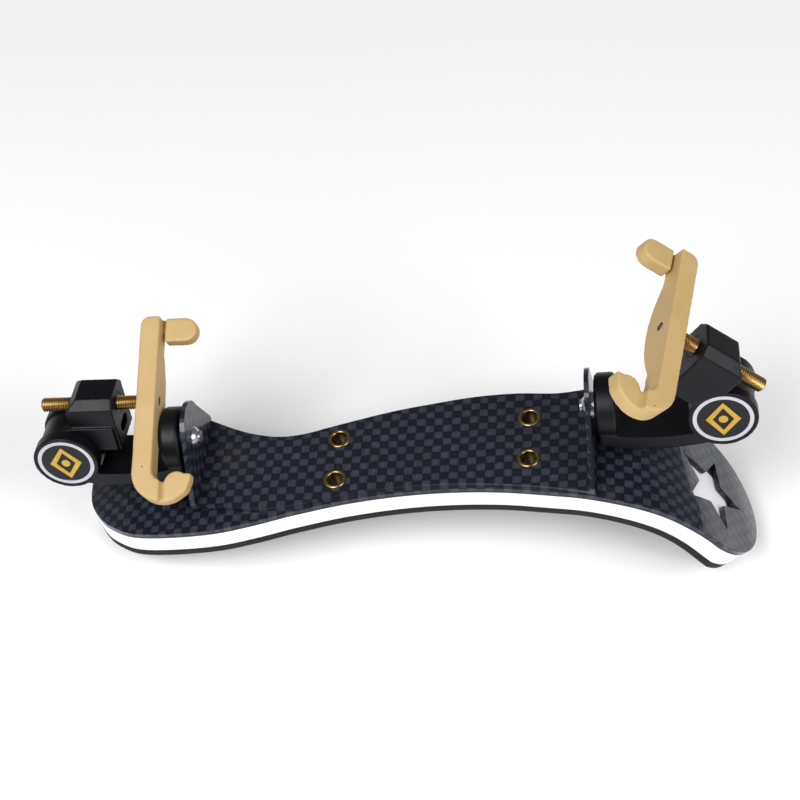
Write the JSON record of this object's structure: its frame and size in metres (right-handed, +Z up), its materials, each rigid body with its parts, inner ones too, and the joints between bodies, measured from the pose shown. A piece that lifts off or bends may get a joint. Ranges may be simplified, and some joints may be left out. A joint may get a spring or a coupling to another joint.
{
  "type": "violin shoulder rest",
  "caption": "S-curved carbon-look plate with layered foam and a raised bridge, carrying folding arms with screw-adjusted rubber forks.",
  "frame": {"origin": "middle of the footprint at table height, with the rest lying on the two ends of its foam", "axes": "+X along the rest towards its strongly bent end, +Y from the star side's front edge to the back, +Z up"},
  "size_m": [0.247, 0.0651, 0.1123],
  "materials": {
    "carbon_plate": "clear-coated carbon weave",
    "liner_film": "satin black film",
    "white_foam": "closed-cell foam, matt",
    "black_foam": "grip foam, matt",
    "eyelet_brass": "antique brass",
    "polished_steel": "polished",
    "black_nylon": "moulded, satin",
    "badge_silver": "satin chrome",
    "badge_black": "gloss",
    "badge_gold": "gold plate",
    "rod_brass": "turned thread",
    "core_steel": "strip steel",
    "tan_rubber": "moulded, matt"
  },
  "bodies": {
    "base": {"base_plate": "carbon_plate", "bridge_plate": "carbon_plate", "foam_liner": "liner_film", "white_foam": "white_foam", "black_foam": "black_foam", "eyelets": "eyelet_brass", "left_pivot_screw": "polished_steel", "left_pivot_washer": "polished_steel", "left_pivot_nut": "polished_steel", "right_pivot_screw": "polished_steel", "right_pivot_washer": "polished_steel", "right_pivot_nut": "polished_steel"},
    "left_arm": {"left_arm": "black_nylon", "left_hinge_bolt": "polished_steel", "left_hinge_nut": "polished_steel", "left_badge_ring": "badge_silver", "left_badge_disc": "badge_black", "left_badge_emblem": "badge_gold"},
    "left_cradle": {"left_cradle": "black_nylon", "left_threaded_insert": "black_nylon"},
    "left_rod": {"left_rod": "rod_brass"},
    "left_fork": {"left_fork_core": "core_steel", "left_fork_rubber": "tan_rubber"},
    "right_arm": {"right_arm": "black_nylon", "right_hinge_bolt": "polished_steel", "right_hinge_nut": "polished_steel", "right_badge_ring": "badge_silver", "right_badge_disc": "badge_black", "right_badge_emblem": "badge_gold"},
    "right_cradle": {"right_cradle": "black_nylon", "right_threaded_insert": "black_nylon"},
    "right_rod": {"right_rod": "rod_brass"},
    "right_fork": {"right_fork_core": "core_steel", "right_fork_rubber": "tan_rubber"}
  },
  "joints": [
    {"name": "left_arm_tilt", "type": "hinge", "parent": "base", "child": "left_arm", "pos_m": [-0.07046, -0.00248, 0.04635], "axis": [0.9924, 0, 0.1232], "range_deg": [-12, 10]},
    {"name": "left_fold", "type": "hinge", "parent": "left_arm", "child": "left_cradle", "pos_m": [-0.11214, -0.00248, 0.04118], "axis": [-0.0171, -0.9903, 0.1381], "range_deg": [0, 97]},
    {"name": "left_rod_reach", "type": "slide", "parent": "left_cradle", "child": "left_rod", "axis": [0.996, -0.0049, 0.0888], "range_m": [-0.006, 0]},
    {"name": "left_fork_turn", "type": "hinge", "parent": "left_rod", "child": "left_fork", "pos_m": [-0.08684, 0.00337, 0.05729], "axis": [0.996, -0.0049, 0.0888], "range_deg": [-24, 3]},
    {"name": "right_arm_tilt", "type": "hinge", "parent": "base", "child": "right_arm", "pos_m": [0.06451, 0.00202, 0.06311], "axis": [0.9924, 0, 0.1232], "range_deg": [-12, 10]},
    {"name": "right_fold", "type": "hinge", "parent": "right_arm", "child": "right_cradle", "pos_m": [0.10619, 0.00202, 0.06828], "axis": [0.0171, 0.9903, -0.1381], "range_deg": [-15, 53]},
    {"name": "right_rod_reach", "type": "slide", "parent": "right_cradle", "child": "right_rod", "axis": [-0.8241, 0.0922, 0.5589], "range_m": [-0.005, 0.006]},
    {"name": "right_fork_turn", "type": "hinge", "parent": "right_rod", "child": "right_fork", "pos_m": [0.08944, 0.00236, 0.09757], "axis": [0.8241, -0.0922, -0.5589], "range_deg": [-25, 30]}
  ]
}
